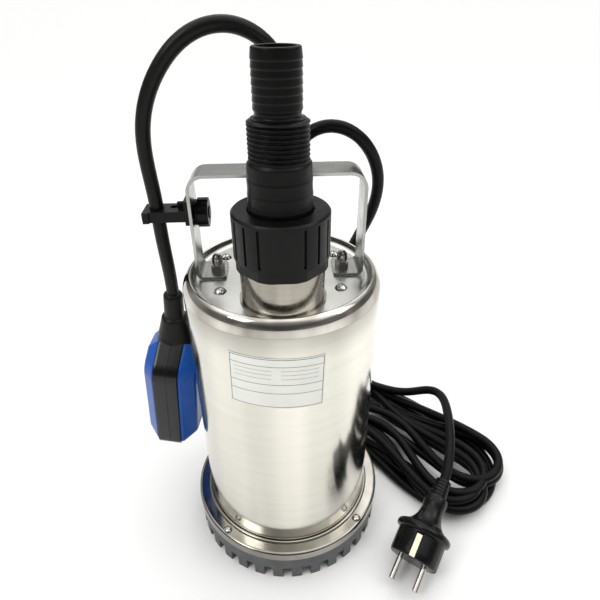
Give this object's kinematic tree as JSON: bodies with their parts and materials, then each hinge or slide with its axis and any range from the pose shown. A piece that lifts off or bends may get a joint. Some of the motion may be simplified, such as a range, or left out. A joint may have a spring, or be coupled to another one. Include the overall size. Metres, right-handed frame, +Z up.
{
  "type": "submersible sump pump",
  "caption": "Submersible sump pump with a stainless casing, castellated intake, stepped hose outlet, carrying handle, float switch and mains lead.",
  "frame": {"origin": "centre of the base plate's underside, on the floor and on the casing's axis", "axes": "+Z up along the casing's axis and the motor shaft; -Y is the front with the label; +X to the right seen from the front; the float hangs on the -X side"},
  "size_m": [0.3228, 0.2795, 0.3885],
  "materials": {
    "shell_steel": "satin stainless steel, fine brushing around the casing",
    "polished_steel": "polished stainless steel",
    "cover_steel": "satin pressed stainless steel",
    "flange_steel": "polished pressed stainless steel",
    "fastener_steel": "bright stainless steel",
    "handle_steel": "satin stainless strap",
    "base_plastic": "dark grey moulded plastic, satin",
    "inner_plastic": "dark glass-filled plastic",
    "label_film": "silver-grey printed film with plain ruled lines",
    "seal_rubber": "matt black rubber",
    "black_plastic": "black moulded plastic, satin",
    "float_cable_rubber": "black rubber sheath, satin",
    "float_black": "glossy black moulded plastic",
    "float_blue": "blue moulded plastic, slight gloss",
    "white_plastic": "off-white moulded plastic",
    "ball_steel": "polished hardened steel",
    "cord_rubber": "black rubber, satin",
    "nickel": "nickel-plated brass",
    "earth_brass": "bright spring brass",
    "shaft_steel": "ground stainless steel",
    "ceramic": "ceramic seal seat",
    "seal_carbon": "carbon face in a rubber bellows",
    "carrier_aluminium": "die-cast aluminium",
    "can_steel": "drawn stainless steel",
    "core_iron": "stacked electrical sheet steel",
    "winding_copper": "enamelled copper wire",
    "lead_insulation": "insulated copper leads"
  },
  "bodies": {
    "pump": {"outer_shell": "shell_steel", "rim_seam": "polished_steel", "top_cover": "cover_steel", "base_flange": "flange_steel", "flange_screws": "fastener_steel", "strainer_ring": "base_plastic", "strainer_feet": "base_plastic", "base_plate": "base_plastic", "rating_label": "label_film", "cover_screws": "fastener_steel", "outlet_stub": "polished_steel", "outlet_gasket": "seal_rubber", "hose_adapter": "black_plastic", "handle_strap": "handle_steel", "handle_studs": "fastener_steel", "handle_nuts": "fastener_steel", "gland_bodies": "black_plastic", "power_gland_nut": "black_plastic", "float_gland_nut": "black_plastic", "clip_arm": "black_plastic", "float_cable_upper": "float_cable_rubber", "power_cord": "cord_rubber", "cord_hank": "cord_rubber", "plug_cord": "cord_rubber", "plug_relief": "cord_rubber", "plug_body": "cord_rubber", "plug_pins": "nickel", "plug_earth_strips": "earth_brass", "suction_cover": "inner_plastic", "volute_ring": "inner_plastic", "seal_plate": "inner_plastic", "shaft_seal_seat": "ceramic", "lower_carrier": "carrier_aluminium", "upper_carrier": "carrier_aluminium", "bearing_outer_rings": "shaft_steel", "bearing_balls": "ball_steel", "motor_can": "can_steel", "motor_cover": "can_steel", "can_o_ring": "seal_rubber", "stator_core": "core_iron", "stator_windings": "winding_copper", "run_capacitor": "white_plastic", "motor_leads": "lead_insulation"},
    "rotor": {"impeller": "inner_plastic", "impeller_nut": "shaft_steel", "shaft_seal_head": "seal_carbon", "bearing_inner_rings": "shaft_steel", "rotor_core": "core_iron", "rotor_end_rings": "carrier_aluminium", "motor_shaft": "shaft_steel"},
    "union_nut": {"union_nut": "black_plastic"},
    "clip_knob": {"clip_knob": "black_plastic"},
    "float": {"float_cable_lower": "float_cable_rubber", "cable_boot": "float_cable_rubber", "float_band": "float_black", "float_shell_outer": "float_blue", "float_shell_inner": "float_blue", "ball_tube": "white_plastic", "microswitch": "white_plastic"},
    "switch_ball": {"switch_ball": "ball_steel"}
  },
  "joints": [
    {"name": "rotor_spin", "type": "hinge", "parent": "pump", "child": "rotor", "pos_m": [0, 0, 0.1], "axis": [0, 0, 1], "continuous": true},
    {"name": "union_nut_turn", "type": "hinge", "parent": "pump", "child": "union_nut", "pos_m": [0.0005, -0.0285, 0.28], "axis": [0, 0, 1], "continuous": true},
    {"name": "clip_knob_turn", "type": "hinge", "parent": "pump", "child": "clip_knob", "pos_m": [-0.05, 0.0095, 0.2775], "axis": [1, 0, 0], "continuous": true},
    {"name": "float_swing", "type": "hinge", "parent": "pump", "child": "float", "pos_m": [-0.079, 0.0095, 0.265], "axis": [0.13, 0.9888, 0.0738], "range_deg": [0, 105]},
    {"name": "switch_ball_roll", "type": "slide", "parent": "float", "child": "switch_ball", "axis": [0.1007, -0.0872, 0.9911], "range_m": [0, 0.0335]}
  ]
}
